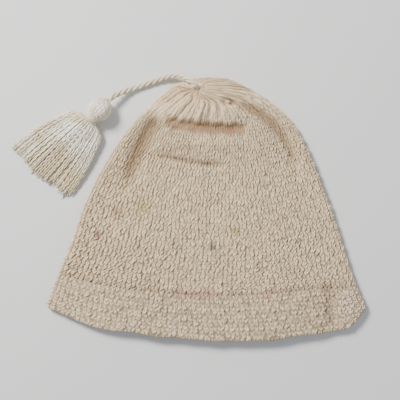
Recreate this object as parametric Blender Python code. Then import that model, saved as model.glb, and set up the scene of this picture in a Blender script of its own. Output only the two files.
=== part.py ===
"""A knitted nightcap laid flat, with the cord and tassel that leave its gathered crown.

Metres, +Z up. The cap lies on the ground at Z = 0 with its crown towards +Y, and the origin is
under the middle of the cap without its cord and tassel.
"""

import math
from collections import namedtuple

import bmesh
import bpy
from mathutils import Vector

MM = 0.001

# The cap
CAP_WIDTH = 280 * MM  # flat, between the corners of the hem
CAP_LENGTH = 228 * MM  # flat, from the lowest point of the hem to the top of the crown
LOFT = 14.5 * MM  # height of the front above the ground at the middle of the cap
KNIT_WALL = 2.4 * MM
BAND_WALL = 2.8 * MM
BAND_STEP = 0.4 * MM  # how far the border stands out from the field
FOLD_REACH = 6 * MM  # how far the round of a side fold reaches in from the edge
PLEATS = 24
PLEAT_HEIGHT = 2.0 * MM
SEAT_GAP = 0.3 * MM  # clearance between pieces that meet
BAND_GAP = 0.8 * MM  # the same between the border and the field, measured up the cap's length

# The cord
CORD_DIAMETER = 5.2 * MM

# The tassel, its axis turned from -X towards -Y
TASSEL_TURN = math.radians(46)
HEAD_WIDTH = 20 * MM
HEAD_LENGTH = 22 * MM
NECK_DIAMETER = 10 * MM
NECK_LENGTH = 3.6 * MM
TIE_THREAD = 1.4 * MM
TIE_TURNS = 2
SKIRT_LENGTH = 64 * MM
SKIRT_WIDTH = 66 * MM
SKIRT_HEIGHT = 14 * MM
LOCKS = 13  # locks side by side on the ground, with one fewer over them
LOCK_THICKNESS = 6.4 * MM

# Mesh resolution
ROUND_THE_CAP = 72
ROUND_THE_TASSEL = 16
FIELD_ROWS = 25
BAND_ROWS = 3
INSIDE_ROWS = 15

# Sections of the cap, from the hem to the centre of the gathers. way is the share of the way up.
# x is a share of CAP_WIDTH from the middle, y a share of CAP_LENGTH from the hem, z a share of LOFT.
Section = namedtuple(
    "Section", "way left_x left_y right_x right_y front_y back_y edge_z front_z back_z roundness"
)
SECTIONS = (
    Section(0.000, -0.500, 0.127, 0.500, 0.120, 0.000, 0.012, 0.33, 0.80, 0.00, 0.0),
    Section(0.145, -0.464, 0.242, 0.459, 0.239, 0.139, 0.145, 0.34, 0.87, 0.00, 0.0),
    Section(0.298, -0.419, 0.377, 0.422, 0.377, 0.285, 0.290, 0.35, 0.96, 0.00, 0.0),
    Section(0.456, -0.378, 0.519, 0.384, 0.519, 0.434, 0.438, 0.36, 1.00, 0.00, 0.0),
    Section(0.601, -0.328, 0.645, 0.344, 0.649, 0.572, 0.578, 0.37, 1.01, 0.00, 0.0),
    Section(0.730, -0.272, 0.756, 0.303, 0.760, 0.695, 0.705, 0.39, 1.02, 0.00, 0.1),
    Section(0.851, -0.209, 0.852, 0.253, 0.852, 0.810, 0.830, 0.42, 1.12, 0.00, 0.3),
    Section(0.911, -0.144, 0.919, 0.190, 0.917, 0.866, 0.935, 0.46, 1.26, 0.00, 0.5),
    Section(0.950, -0.089, 0.970, 0.123, 0.951, 0.904, 0.998, 0.60, 1.28, 0.42, 0.8),
    Section(0.976, -0.060, 0.962, 0.025, 0.962, 0.928, 0.988, 1.04, 1.22, 0.95, 0.9),
    Section(1.000, -0.034, 0.956, -0.010, 0.956, 0.946, 0.968, 1.18, 1.18, 1.18, 1.0),
)
BAND_TOP = SECTIONS[1].way
BAND_SLOPE = 0.008  # the way over which the border steps down to the field
HOLLOW_END = 0.90  # the way at which the inside of the cap closes

# The lower edge of the front: how far across (-1 to 1), and the share of the drop reached there
HEM_CURVE = (
    (-1.00, 0.00), (-0.88, 0.24), (-0.68, 0.60), (-0.45, 0.75), (-0.22, 0.90),
    (0.05, 0.98), (0.28, 1.00), (0.55, 0.87), (0.76, 0.71), (0.90, 0.57), (1.00, 0.00),
)

# Creases pressed into the front. x, y as in SECTIONS, bow a share of the crease's own length to
# its left, depth a share of LOFT and reach a share of CAP_WIDTH.
Crease = namedtuple("Crease", "start_x start_y end_x end_y bow depth reach")
CREASES = (
    Crease(-0.190, 0.852, 0.176, 0.840, -0.12, 0.34, 0.021),  # under the gathers
    Crease(-0.185, 0.727, 0.145, 0.704, -0.12, 0.13, 0.012),  # second wrinkle below it
    Crease(-0.144, 0.838, -0.245, 0.585, 0.04, 0.34, 0.021),  # inside the left fold
    Crease(0.047, 0.914, 0.285, 0.590, 0.22, 0.26, 0.017),  # inside the right fold
    Crease(0.382, 0.185, 0.385, 0.060, 0.00, 0.16, 0.018),  # at the right corner of the hem
)

# The cord's centreline as it lies, in millimetres, from the gathers to the tassel's head
CORD_ROUTE = (
    (-8.6, 105.6, 20.2), (-11.9, 108.9, 19.5), (-15.8, 112.0, 17.1), (-20.2, 114.6, 13.4),
    (-24.8, 116.2, 9.8), (-29.4, 116.6, 7.1), (-34.2, 115.9, 5.0), (-39.2, 114.4, 3.6),
    (-44.4, 112.6, 2.9), (-49.8, 110.7, 2.7), (-55.2, 108.8, 2.7), (-60.6, 107.0, 2.8),
    (-66.0, 105.2, 3.5), (-71.2, 103.0, 5.0), (-75.8, 101.0, 6.9), (-79.6, 99.1, 8.6),
    (-82.5, 97.1, 9.6), (-85.0, 94.7, 10.0),
)

# The skirt in plan: share of its length from the neck, half width as a share of SKIRT_WIDTH,
# and the height of its top as a share of SKIRT_HEIGHT
SkirtSection = namedtuple("SkirtSection", "way half_width top_z")
SKIRT_SECTIONS = (
    SkirtSection(0.00, 0.13, 0.90),
    SkirtSection(0.04, 0.22, 1.00),
    SkirtSection(0.10, 0.27, 1.02),
    SkirtSection(0.20, 0.31, 1.00),
    SkirtSection(0.36, 0.37, 0.92),
    SkirtSection(0.56, 0.43, 0.82),
    SkirtSection(0.80, 0.48, 0.70),
    SkirtSection(1.00, 0.50, 0.62),
)
TIP_RAGGEDNESS = 0.05  # share of SKIRT_LENGTH by which the tips of the locks differ
TIP_SLANT = 0.10  # share of SKIRT_LENGTH by which the locks nearer the cap are shorter


def hermite(knots, values, at):
    """A smooth curve through values at knots, read at one place."""
    at = min(max(at, knots[0]), knots[-1])
    last = len(knots) - 1
    i = max(k for k in range(last) if knots[k] <= at)

    def tangent(k):
        low, high = max(k - 1, 0), min(k + 1, last)
        return (values[high] - values[low]) / (knots[high] - knots[low])

    span = knots[i + 1] - knots[i]
    s = (at - knots[i]) / span
    return (
        (2 * s**3 - 3 * s**2 + 1) * values[i]
        + (s**3 - 2 * s**2 + s) * span * tangent(i)
        + (3 * s**2 - 2 * s**3) * values[i + 1]
        + (s**3 - s**2) * span * tangent(i + 1)
    )


def read_table(table, at):
    """The named row of a table at a share of the way, between its rows."""
    knots = [row[0] for row in table]
    columns = zip(*table)
    return type(table[0])(*(hermite(knots, column, at) for column in columns))


def smoothstep(x):
    x = min(max(x, 0.0), 1.0)
    return x * x * (3 - 2 * x)


def quarter_round(x):
    """The height of a unit quarter circle, 0 at x = 0 and 1 from x = 1 on."""
    x = min(max(x, 0.0), 1.0)
    return math.sqrt(1 - (1 - x) ** 2)


def row_sag(across, way, roundness):
    """How far the row has dropped below its ends at a place across, 0 to 1."""
    knots, values = zip(*HEM_CURVE)
    hem = hermite(knots, values, across)
    row = 1 - abs(across) ** 2.2
    flat = row + (hem - row) * (1 - smoothstep(way / BAND_TOP))
    return flat + (math.sqrt(max(0.0, 1 - across**2)) - flat) * roundness


def crease_depth(x, y, spread=1.0):
    """How far the creases press the front down at a place, as a height."""
    total = 0.0
    for crease in CREASES:
        start = Vector((crease.start_x * CAP_WIDTH, crease.start_y * CAP_LENGTH))
        along = Vector((crease.end_x * CAP_WIDTH, crease.end_y * CAP_LENGTH)) - start
        side = Vector((-along.y, along.x)) / along.length
        offset = Vector((x, y)) - start
        share = offset.dot(along) / along.length_squared
        if not 0 < share < 1:
            continue
        bow = crease.bow * along.length * 4 * share * (1 - share)
        distance = (offset.dot(side) - bow) / (crease.reach * CAP_WIDTH * spread)
        fade = smoothstep(4 * share) * smoothstep(4 * (1 - share))
        total += crease.depth * LOFT * fade * math.exp(-(distance**2))
    return total


def base_point(turn, way):
    """A point of the smooth cap. turn runs from the left edge over the front (0 to 0.5) and back
    under it. y is measured from the hem."""
    s = read_table(SECTIONS, way)
    front = turn <= 0.5
    across = 4 * turn - 1 if front else 3 - 4 * turn
    shifted = across + (math.sin(across * math.pi / 2) - across) * max(s.roundness, 0.75)
    middle = (s.left_x + s.right_x) / 2 * CAP_WIDTH
    half = (s.right_x - s.left_x) / 2 * CAP_WIDTH
    ends_y = (s.left_y + (s.right_y - s.left_y) * (shifted + 1) / 2) * CAP_LENGTH
    row_y = (s.front_y if front else s.back_y) * CAP_LENGTH
    y = ends_y + (row_y - ends_y) * row_sag(shifted, way, s.roundness)
    from_edge = (1 - abs(shifted)) * half
    round_over = quarter_round(from_edge / min(FOLD_REACH, half))
    dome = math.cos(across * math.pi / 2)
    if front:
        flat_rise = 0.42 * round_over + 0.58 * smoothstep(from_edge / (0.55 * half))
        rise = flat_rise + (dome - flat_rise) * s.roundness
        z = s.edge_z + (s.front_z - s.edge_z) * rise
    else:
        rise = round_over + (dome - round_over) * smoothstep((s.roundness - 0.6) / 0.4)
        z = s.edge_z + (s.back_z - s.edge_z) * rise
    return Vector((middle + half * shifted, y, z * LOFT))


def base_normal(turn, way):
    """The direction out of the smooth cap, level along it except at the crown."""
    step = 0.002
    low, high = max(way - step, 0.0), min(way + step, 1.0)
    around = base_point((turn + step) % 1.0, way) - base_point((turn - step) % 1.0, way)
    up = base_point(turn, high) - base_point(turn, low)
    normal = around.cross(up).normalized()
    normal.y *= smoothstep((way - 0.7) / 0.2)
    return normal.normalized()


def pleat(turn, way):
    """The height of the gathers over the smooth crown."""
    swell = smoothstep((way - 0.86) / 0.05) * smoothstep((1.0 - way) / 0.03)
    ridge = 0.5 + 0.5 * math.cos(turn * PLEATS * 2 * math.pi)
    return PLEAT_HEIGHT * swell * ridge


def outer_point(turn, way):
    """The outside of the knit, with its creases and pleats."""
    point = base_point(turn, way)
    on_front = smoothstep((point.z / LOFT - 0.45) / 0.35)
    normal = base_normal(turn, way)
    point = point + normal * pleat(turn, way) * max(on_front, smoothstep(normal.z + 0.6))
    point.z = max(point.z - crease_depth(point.x, point.y) * on_front, 0.0)
    return point


def inner_point(turn, way, wall):
    """The inside of the knit, one wall in from the smooth outside."""
    point = base_point(turn, way)
    on_front = smoothstep((point.z / LOFT - 0.45) / 0.35)
    point = point - base_normal(turn, way) * wall
    point.z = max(point.z - 0.85 * crease_depth(point.x, point.y, 1.35) * on_front, wall)
    return point


def centred(point):
    """A point measured from the hem, moved so that the origin is under the cap's middle."""
    return point - Vector((0, CAP_LENGTH / 2, 0))


def ring(mesh, points):
    """A closed loop of edges through points, and its vertices."""
    verts = [mesh.verts.new(point) for point in points]
    for a, b in zip(verts, verts[1:] + verts[:1]):
        mesh.edges.new((a, b))
    return verts


def skin(mesh, lower, upper):
    """Faces between two loops with the same number of vertices, all split the same way."""
    count = len(lower)
    for i in range(count):
        j = (i + 1) % count
        mesh.faces.new((lower[i], lower[j], upper[j]))
        mesh.faces.new((lower[i], upper[j], upper[i]))


def lofted(mesh, loops, close_start=False, close_end=False):
    """A skin through loops in order, each a list of points, with a fan to close an end."""
    made = [ring(mesh, points) for points in loops]
    for lower, upper in zip(made, made[1:]):
        skin(mesh, lower, upper)
    for wanted, loop in ((close_start, made[0]), (close_end, made[-1])):
        if wanted:
            centre = mesh.verts.new(sum((v.co for v in loop), Vector()) / len(loop))
            for a, b in zip(loop, loop[1:] + loop[:1]):
                mesh.faces.new((a, b, centre))
    return made


def new_object(name, mesh, colour, roughness=0.95):
    """Closes off a bmesh as an object of the nightcap with a cloth finish of its own."""
    bmesh.ops.recalc_face_normals(mesh, faces=mesh.faces)
    data = bpy.data.meshes.new(name)
    mesh.to_mesh(data)
    mesh.free()
    return place_object(name, data, colour, roughness)


def place_object(name, data, colour, roughness=0.95):
    """An object of the nightcap from mesh data, with a cloth finish of its own."""
    obj = bpy.data.objects.new(name, data)
    bpy.data.collections["nightcap"].objects.link(obj)
    finish = bpy.data.materials.new(name)
    finish.use_nodes = True
    shader = finish.node_tree.nodes["Principled BSDF"]
    shader.inputs["Base Color"].default_value = (*colour, 1)
    shader.inputs["Roughness"].default_value = roughness
    shader.inputs["Metallic"].default_value = 0.0
    data.materials.clear()
    data.materials.append(finish)
    data.shade_smooth()
    data.set_sharp_from_angle(angle=math.radians(50))
    return obj


def turns():
    return [i / ROUND_THE_CAP for i in range(ROUND_THE_CAP)]


def spaced(start, end, count):
    return [start + (end - start) * i / count for i in range(count + 1)]


def build_cap_body():
    """The field of the cap from the border up: outside, round the wall's end, and the inside."""
    mesh = bmesh.new()
    start = BAND_TOP + BAND_GAP / CAP_LENGTH
    # Rows stand closer towards the crown, where the creases and gathers are
    ways = [1 - (1 - start) * (1 - k) ** 1.35 for k in spaced(0, 1, FIELD_ROWS)]
    inside_ways = [HOLLOW_END + (start - HOLLOW_END) * k**1.2 for k in spaced(0, 1, INSIDE_ROWS)]
    inside = [[centred(inner_point(t, w, KNIT_WALL)) for t in turns()] for w in inside_ways]
    outside = [[centred(outer_point(t, w)) for t in turns()] for w in ways]
    lofted(mesh, inside + outside, close_start=True, close_end=True)
    return new_object("cap_body", mesh, (0.70, 0.60, 0.47))


def build_hem_band():
    """The border round the opening, a little thicker than the field and standing out from it."""
    mesh = bmesh.new()

    def outward(turn, way):
        from_fold = min(turn, 0.5 - turn)
        return BAND_STEP * quarter_round(13 * from_fold) if from_fold > 0 and way < BAND_TOP else 0

    def inward(turn, way):
        return KNIT_WALL if way == BAND_TOP else BAND_WALL - outward(turn, way)

    def loop(way, offset, spread):
        points = []
        for t in turns():
            point = base_point(t, way) + base_normal(t, way) * offset(t, way)
            if 0 < t < 0.5:
                point.z -= crease_depth(point.x, point.y, spread)
            points.append(centred(point))
        return points

    ways = spaced(0.0, BAND_TOP - BAND_SLOPE, BAND_ROWS) + [BAND_TOP]
    outside = [loop(w, outward, 1.0) for w in ways]
    inside = [loop(w, lambda t, v: -inward(t, v), 1.35) for w in ways]
    loops = [ring(mesh, points) for points in inside + outside[::-1]]
    for lower, upper in zip(loops, loops[1:] + loops[:1]):
        skin(mesh, lower, upper)
    return new_object("hem_band", mesh, (0.72, 0.63, 0.50))


def smooth_route(points, count):
    """Evenly many points on a smooth curve through a route."""
    knots = list(range(len(points)))
    columns = list(zip(*points))
    return [
        Vector([hermite(knots, column, at) for column in columns])
        for at in spaced(0, len(points) - 1, count)
    ]


def tube_mesh(points, radii, depth, sides_step):
    """A closed mesh tube along points, from a curve with filled caps."""
    curve = bpy.data.curves.new("tube", "CURVE")
    curve.dimensions = "3D"
    curve.bevel_depth = depth
    curve.bevel_resolution = sides_step
    curve.use_fill_caps = True
    spline = curve.splines.new("POLY")
    spline.points.add(len(points) - 1)
    for slot, point, radius in zip(spline.points, points, radii):
        slot.co = (*point, 1)
        slot.radius = radius
    guide = bpy.data.objects.new("tube_guide", curve)
    bpy.context.scene.collection.objects.link(guide)
    graph = bpy.context.evaluated_depsgraph_get()
    data = bpy.data.meshes.new_from_object(guide.evaluated_get(graph))
    bpy.data.objects.remove(guide)
    bpy.data.curves.remove(curve)
    mesh = bmesh.new()
    mesh.from_mesh(data)
    bmesh.ops.remove_doubles(mesh, verts=mesh.verts, dist=0.00001)
    bmesh.ops.recalc_face_normals(mesh, faces=mesh.faces)
    mesh.to_mesh(data)
    mesh.free()
    return data


def build_cord():
    """The cord where it lies, a plain tube."""
    curve = bpy.data.curves.new("cord", "CURVE")
    curve.dimensions = "3D"
    curve.bevel_depth = CORD_DIAMETER / 2
    curve.bevel_resolution = 2
    curve.use_fill_caps = True
    points = smooth_route([[c * MM for c in point] for point in CORD_ROUTE], 22)
    spline = curve.splines.new("POLY")
    spline.points.add(len(points) - 1)
    for slot, point in zip(spline.points, points):
        slot.co = (*point, 1)
    cord = bpy.data.objects.new("cord", curve)
    bpy.data.collections["nightcap"].objects.link(cord)
    finish = bpy.data.materials.new("cord")
    finish.use_nodes = True
    shader = finish.node_tree.nodes["Principled BSDF"]
    shader.inputs["Base Color"].default_value = (0.72, 0.66, 0.55, 1)
    shader.inputs["Roughness"].default_value = 0.8
    curve.materials.append(finish)
    return cord


def tassel_frame():
    """The middle of the head, and the directions along the tassel and across it."""
    along = Vector((-math.cos(TASSEL_TURN), -math.sin(TASSEL_TURN), 0))
    middle = Vector(CORD_ROUTE[-1]) * MM + along * (HEAD_LENGTH / 2 + SEAT_GAP)
    middle.z = HEAD_WIDTH / 2
    across = Vector((-along.y, along.x, 0))
    return middle, along, across


def skirt_point(way, fan, height):
    """A place in the skirt: way from the neck to the tips, fan across it, height 0 to 1."""
    s = read_table(SKIRT_SECTIONS, way)
    middle, along, across = tassel_frame()
    neck = middle + along * (HEAD_LENGTH / 2 + NECK_LENGTH)
    bulge = math.sqrt(max(0.0, 1 - 0.72 * fan * fan))
    point = neck + along * (way * SKIRT_LENGTH) + across * (fan * s.half_width * SKIRT_WIDTH)
    point.z = height * s.top_z * SKIRT_HEIGHT * bulge
    return point


def lock_radius(way):
    """The radius of a lock along its length."""
    return LOCK_THICKNESS / 2 * (0.55 + 0.45 * math.sin(math.pi * min(0.15 + way, 0.8)))


def lock_centre(way, fan, layer):
    """The middle of a lock: layer 0 lies on the ground and layer 1 over it."""
    point = skirt_point(way, fan, 1.0)
    low = lock_radius(way)
    point.z = max(point.z - low, 1.5 * low) if layer else low
    return point


def lock_meshes():
    """The locks of the skirt, their middles on the surface of the filling between them."""
    made = []
    for layer in (0, 1):
        for i in range(LOCKS - layer):
            fan = (-1 + 2 * (i + 0.5 + 0.5 * layer) / LOCKS) * 0.95
            tip = 1 - TIP_RAGGEDNESS * (0.5 + 0.5 * math.sin(2.4 * i + 1.7 * layer))
            tip -= TIP_SLANT * (1 + fan) / 2
            ways = [0.02 + (tip - 0.02) * k for k in spaced(0, 1, 7)]
            points = [lock_centre(way, fan, layer) for way in ways]
            made.append(tube_mesh(points, [lock_radius(w) for w in ways], 1.0, 1))
    return made


def skirt_filling():
    """The strands inside the skirt, which close the spaces between the locks."""
    mesh = bmesh.new()
    loops = []
    fans = spaced(-0.86, 0.86, 8)
    for way in spaced(0.0, 0.84, 7):
        over = [lock_centre(way, fan, 1) for fan in fans]
        under = [lock_centre(way, fan, 0) for fan in fans]
        for high, low in zip(over, under):
            high.z += 0.25 * lock_radius(way)
            low.z -= 0.25 * lock_radius(way)
        loops.append(over + under[::-1])
    lofted(mesh, loops, close_start=True, close_end=True)
    bmesh.ops.recalc_face_normals(mesh, faces=mesh.faces)
    data = bpy.data.meshes.new("filling")
    mesh.to_mesh(data)
    mesh.free()
    return data


def head_mesh():
    """The wound head and the neck under it, one turned form about the tassel's axis."""
    middle, along, across = tassel_frame()
    mesh = bmesh.new()
    loops = []
    sides = ROUND_THE_TASSEL
    neck_from = HEAD_LENGTH / 2
    for step in range(1, 9):
        angle = math.pi * step / 10
        loops.append((-math.cos(angle) * HEAD_LENGTH / 2, math.sin(angle) * HEAD_WIDTH / 2))
    loops.append((neck_from, NECK_DIAMETER / 2))
    loops.append((neck_from + NECK_LENGTH + 3 * MM, NECK_DIAMETER / 2))
    rings = []
    for forward, radius in loops:
        centre = middle + along * forward
        rings.append(
            [
                centre
                + across * radius * math.cos(2 * math.pi * k / sides)
                + Vector((0, 0, radius * math.sin(2 * math.pi * k / sides)))
                for k in range(sides)
            ]
        )
    lofted(mesh, rings, close_start=True, close_end=True)
    bmesh.ops.recalc_face_normals(mesh, faces=mesh.faces)
    data = bpy.data.meshes.new("head")
    mesh.to_mesh(data)
    mesh.free()
    return data


def largest_piece(mesh):
    """Deletes all but the connected piece with the most faces."""
    left = set(mesh.faces)
    pieces = []
    while left:
        piece = {left.pop()}
        edge_of_piece = list(piece)
        while edge_of_piece:
            near = {f for e in edge_of_piece.pop().edges for f in e.link_faces} & left
            left -= near
            piece |= near
            edge_of_piece += near
        pieces.append(piece)
    pieces.sort(key=len)
    crumbs = [face for piece in pieces[:-1] for face in piece]
    bmesh.ops.delete(mesh, geom=crumbs, context="FACES")


def build_tassel():
    """The head with the locks of the skirt fused to it."""
    guide = bpy.data.objects.new("head_guide", head_mesh())
    bpy.context.scene.collection.objects.link(guide)
    joining = bpy.data.collections["joining"]
    for data in [skirt_filling()] + lock_meshes():
        lock = bpy.data.objects.new("lock", data)
        lock.hide_render = True
        lock.display_type = "WIRE"
        joining.objects.link(lock)
    fuse = guide.modifiers.new("fuse", "BOOLEAN")
    fuse.operation = "UNION"
    fuse.operand_type = "COLLECTION"
    fuse.collection = joining
    fuse.solver = "EXACT"
    graph = bpy.context.evaluated_depsgraph_get()
    fused = bpy.data.meshes.new_from_object(guide.evaluated_get(graph))
    bpy.data.objects.remove(guide)
    mesh = bmesh.new()
    mesh.from_mesh(fused)
    bmesh.ops.remove_doubles(mesh, verts=mesh.verts, dist=0.00002)
    largest_piece(mesh)
    return new_object("tassel", mesh, (0.80, 0.74, 0.62), 0.8)


def build_neck_tie():
    """The turns of thread round the neck, side by side and fused into one band."""
    middle, along, across = tassel_frame()
    mesh = bmesh.new()
    sides, start = ROUND_THE_TASSEL, HEAD_LENGTH / 2 + 0.6 * MM
    inner = NECK_DIAMETER / 2 + SEAT_GAP / math.cos(math.pi / sides)
    profile = []
    for turn in range(TIE_TURNS):
        for angle in (150, 90, 30):
            a = math.radians(angle)
            profile.append(
                (
                    start + TIE_THREAD * (turn + 0.5) * 0.9 + math.cos(a) * TIE_THREAD / 2,
                    inner + TIE_THREAD / 2 + math.sin(a) * TIE_THREAD / 2,
                )
            )
    profile += [(profile[-1][0], inner), (profile[0][0], inner)]
    loops = []
    for forward, radius in profile:
        centre = middle + along * forward
        loops.append(
            ring(
                mesh,
                [
                    centre
                    + across * radius * math.cos(2 * math.pi * k / sides)
                    + Vector((0, 0, radius * math.sin(2 * math.pi * k / sides)))
                    for k in range(sides)
                ],
            )
        )
    for lower, upper in zip(loops, loops[1:] + loops[:1]):
        skin(mesh, lower, upper)
    return new_object("neck_tie", mesh, (0.84, 0.80, 0.72), 0.8)


def main():
    for obj in list(bpy.data.objects):
        bpy.data.objects.remove(obj, do_unlink=True)
    for name in ("nightcap", "joining"):
        collection = bpy.data.collections.new(name)
        bpy.context.scene.collection.children.link(collection)
    bpy.data.collections["joining"].hide_render = True
    build_cap_body()
    build_hem_band()
    build_cord()
    build_tassel()
    build_neck_tie()


main()
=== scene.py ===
"""The looks of a knitted nightcap that lies flat, with its cord and tassel.

The knit, border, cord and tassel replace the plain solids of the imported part, in the same places.
Metres, +Z up, the cap's crown towards +Y.
"""

import math
from collections import namedtuple

import bmesh
import bpy
import numpy as np
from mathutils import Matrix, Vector


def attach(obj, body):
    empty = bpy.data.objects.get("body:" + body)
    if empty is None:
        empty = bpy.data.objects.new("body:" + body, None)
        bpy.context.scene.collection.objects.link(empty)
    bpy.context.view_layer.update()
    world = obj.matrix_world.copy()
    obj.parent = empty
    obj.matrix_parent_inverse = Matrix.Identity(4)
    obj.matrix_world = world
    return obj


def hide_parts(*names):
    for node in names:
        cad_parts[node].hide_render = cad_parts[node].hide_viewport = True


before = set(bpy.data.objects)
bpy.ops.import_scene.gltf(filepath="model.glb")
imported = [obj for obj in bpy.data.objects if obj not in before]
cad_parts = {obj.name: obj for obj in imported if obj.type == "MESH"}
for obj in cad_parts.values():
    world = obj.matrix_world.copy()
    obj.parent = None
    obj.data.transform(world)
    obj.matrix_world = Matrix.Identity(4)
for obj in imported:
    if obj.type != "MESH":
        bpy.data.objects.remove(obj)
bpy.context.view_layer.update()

MM = 0.001
PIXEL = 0.875 * MM  # what one pixel of the photograph covers
PHOTO_SIZE = 400  # pixels each way
PHOTO_X, PHOTO_Y = 206, 208.75  # the pixel that lies over the origin
SCALE_HEIGHT = 8 * MM  # height at which a pixel covers PIXEL

# The cap, as in the part's source
CAP_WIDTH = 280 * MM
CAP_LENGTH = 228 * MM
LOFT = 14.5 * MM
KNIT_WALL = 2.4 * MM
BAND_WALL = 2.8 * MM
BAND_STEP = 0.4 * MM
FOLD_REACH = 6 * MM
PLEATS = 24
SEAT_GAP = 0.3 * MM

# The cap, beyond what the source holds
GROUND_GAP = 0.15 * MM  # under the lowest stitches
FRONT_RISE = 212 * MM  # about how far the rows of the front climb from way 0 to way 1
CLOSE_WAY = 0.02  # past way 1, the way over which the gathers close
LOBE_HANG = 2.4 * MM  # how far the gathers' lobes hang into the first crease

# The knit
WALES = 128  # columns of stitches round the cap
FIELD_COURSES = 64
BAND_COURSES = 11
WALE = 4.4 * MM  # width of a stitch at the hem
COURSE = 3.0 * MM
LEG_OFFSET = 0.17  # of a wale, from its middle to a leg's
RELIEF = 1.8 * MM  # from the gaps to the tops of the stitches
# Lean of a stitch's legs, their half length and half width, and how unevenly they lie
FIELD_STITCH = (math.radians(21), 2.5 * MM, 0.90 * MM, 1.0)
BAND_STITCH = (math.radians(21), 2.1 * MM, 0.80 * MM, 1.1)
BAND_ROW = 70  # the row of STITCH_JITTER with which the border starts
PER_COURSE = 5  # rows of points in a course
CROWN_COURSE = 54  # where the piece of the gathers takes over

# The cord and tassel, as in the part's source
CORD_DIAMETER = 5.2 * MM
TASSEL_TURN = math.radians(46)
HEAD_WIDTH = 20 * MM
HEAD_LENGTH = 22 * MM
NECK_DIAMETER = 10 * MM
NECK_LENGTH = 3.6 * MM
SKIRT_LENGTH = 64 * MM
SKIRT_WIDTH = 66 * MM
SKIRT_HEIGHT = 14 * MM

# Their yarn. A lay is the length of one turn of the plies
CORD_PLY = CORD_DIAMETER / 4.31  # radius of each of three plies that touch
PLY_REACH = 1.1547  # from the cord's middle to a ply's, in radii of a ply
CORD_LAY = 19 * MM
STRAND_LAY = 10.5 * MM
STRAND_LOW = 1.1 * MM  # lowest that the middle of a strand lies
HEAD_YARNS = 30
HEAD_LAY = 8.5 * MM
LOOSE_ENDS = 26  # that hang out of the skirt's fringe

Section = namedtuple(
    "Section", "way left_x left_y right_x right_y front_y back_y edge_z front_z back_z roundness"
)
SECTIONS = (
    Section(0.000, -0.500, 0.127, 0.500, 0.120, 0.000, 0.012, 0.33, 0.80, 0.00, 0.0),
    Section(0.145, -0.464, 0.242, 0.459, 0.239, 0.139, 0.145, 0.34, 0.87, 0.00, 0.0),
    Section(0.298, -0.419, 0.377, 0.422, 0.377, 0.285, 0.290, 0.35, 0.96, 0.00, 0.0),
    Section(0.456, -0.378, 0.519, 0.384, 0.519, 0.434, 0.438, 0.36, 1.00, 0.00, 0.0),
    Section(0.601, -0.328, 0.645, 0.344, 0.649, 0.572, 0.578, 0.37, 1.01, 0.00, 0.0),
    Section(0.730, -0.272, 0.756, 0.303, 0.760, 0.695, 0.705, 0.39, 1.02, 0.00, 0.1),
    Section(0.851, -0.209, 0.852, 0.253, 0.852, 0.810, 0.830, 0.42, 1.12, 0.00, 0.3),
    Section(0.911, -0.144, 0.919, 0.190, 0.917, 0.866, 0.935, 0.46, 1.26, 0.00, 0.5),
    Section(0.950, -0.089, 0.970, 0.123, 0.951, 0.904, 0.998, 0.60, 1.28, 0.42, 0.8),
    Section(0.976, -0.060, 0.962, 0.025, 0.962, 0.928, 0.988, 1.04, 1.22, 0.95, 0.9),
    Section(1.000, -0.034, 0.956, -0.010, 0.956, 0.946, 0.968, 1.18, 1.18, 1.18, 1.0),
)
BAND_TOP = SECTIONS[1].way
HOLLOW_END = 0.90

HEM_CURVE = (
    (-1.00, 0.00), (-0.88, 0.24), (-0.68, 0.60), (-0.45, 0.75), (-0.22, 0.90),
    (0.05, 0.98), (0.28, 1.00), (0.55, 0.87), (0.76, 0.71), (0.90, 0.57), (1.00, 0.00),
)

# The border's upper edge strays from its course: across the front, pixels upwards
SEAM = (
    (-1.00, 0.0), (-0.84, 2.5), (-0.60, 5.0), (-0.30, 7.5), (0.00, 7.2), (0.18, 5.7),
    (0.43, 3.0), (0.64, -2.0), (0.80, -7.5), (0.88, -9.0), (0.95, -7.0), (1.00, 0.0),
)

# Ends and reach in shares of the cap, bow in shares of the crease's length, depth in LOFTs. The
# last two are how much stain and painted shade the crease carries, and how square its sides are
Crease = namedtuple("Crease", "start_x start_y end_x end_y bow depth reach tint square")
CREASES = (
    Crease(-0.134, 0.834, 0.136, 0.804, -0.03, 0.27, 0.0175, 1.00, 3),
    Crease(-0.175, 0.718, 0.080, 0.664, -0.05, 0.22, 0.010, 0.50, 2),
    Crease(-0.130, 0.885, -0.254, 0.550, -0.055, 0.36, 0.025, 0.98, 2),
    Crease(0.047, 0.914, 0.292, 0.590, 0.187, 0.26, 0.018, 0.95, 2),
    Crease(0.386, 0.232, 0.392, 0.005, 0.03, 0.36, 0.024, 0.95, 2),
)

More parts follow.
